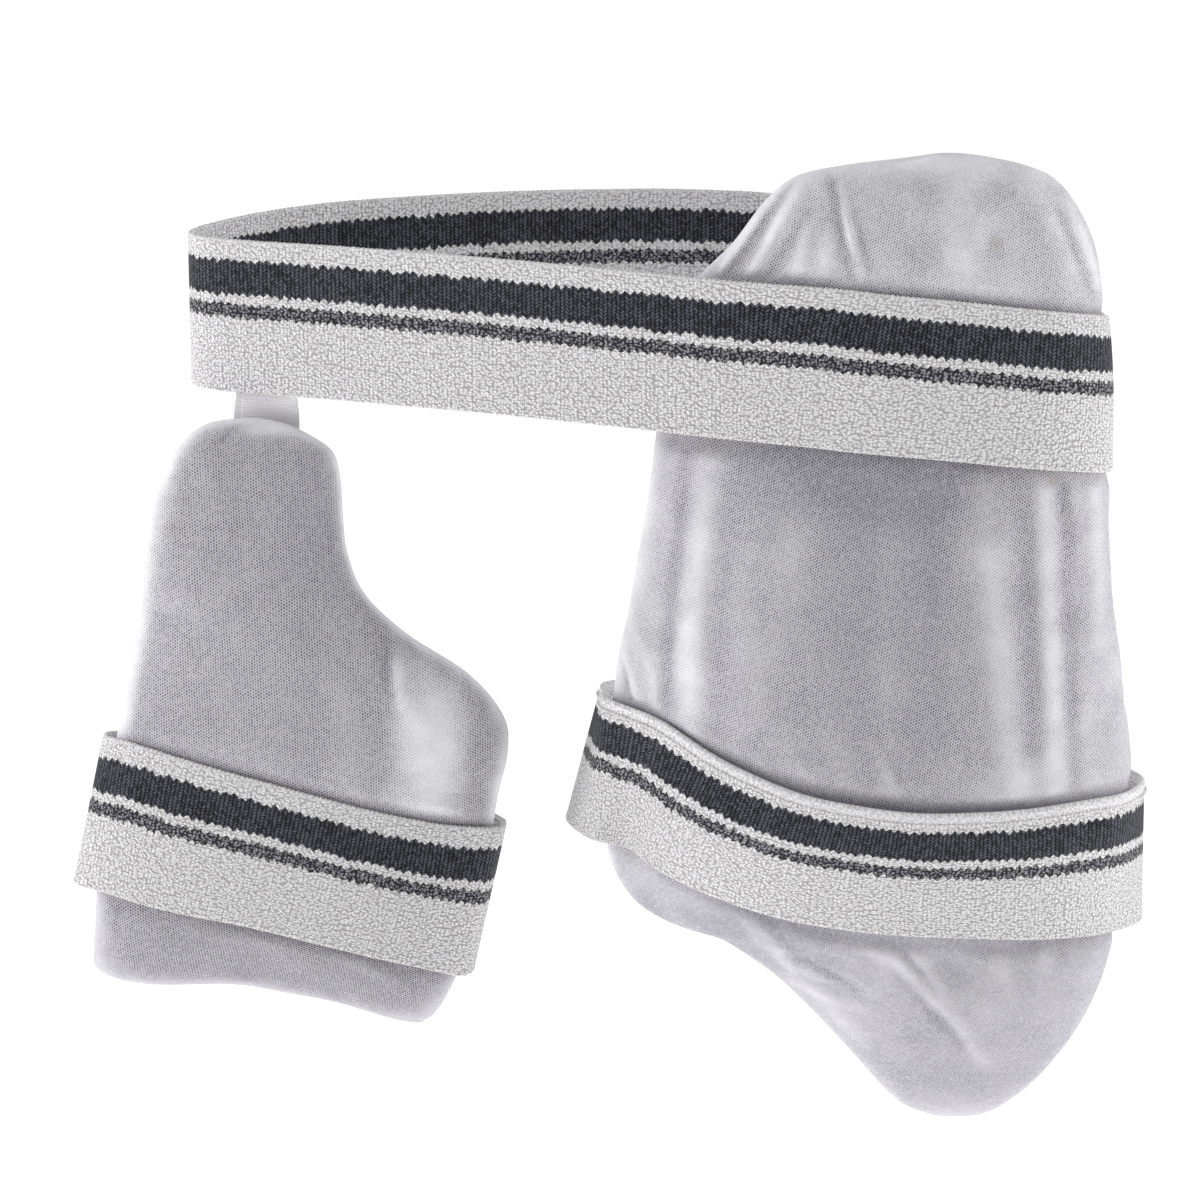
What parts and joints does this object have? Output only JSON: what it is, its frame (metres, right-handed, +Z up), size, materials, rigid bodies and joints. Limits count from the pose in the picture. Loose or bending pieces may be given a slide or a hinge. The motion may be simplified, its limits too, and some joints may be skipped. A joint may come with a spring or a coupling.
{
  "type": "cricket thigh guard",
  "caption": "Outer and inner padded thigh guards hung from one striped elastic waist belt, each with an elastic strap that goes round the leg.",
  "frame": {"origin": "middle of the waist loop, at the middle of the belt's width, where the wearer's waist is", "axes": "+Z up along the wearer's body; the pads' outer faces look towards -Y; +X towards the outer pad, the wearer's left"},
  "size_m": [0.475, 0.1833, 0.433],
  "materials": {
    "pad_cover": "fine pale grey knit stretched over foam",
    "knitted_elastic": "thick white knitted elastic with a dark and a mottled grey stripe",
    "woven_tape": "soft white woven tape"
  },
  "bodies": {
    "root": {"outer_thigh_pad": "pad_cover", "inner_thigh_pad": "pad_cover", "waist_belt": "knitted_elastic", "outer_leg_strap": "knitted_elastic", "inner_leg_strap": "knitted_elastic", "hanging_tab": "woven_tape"}
  },
  "joints": []
}
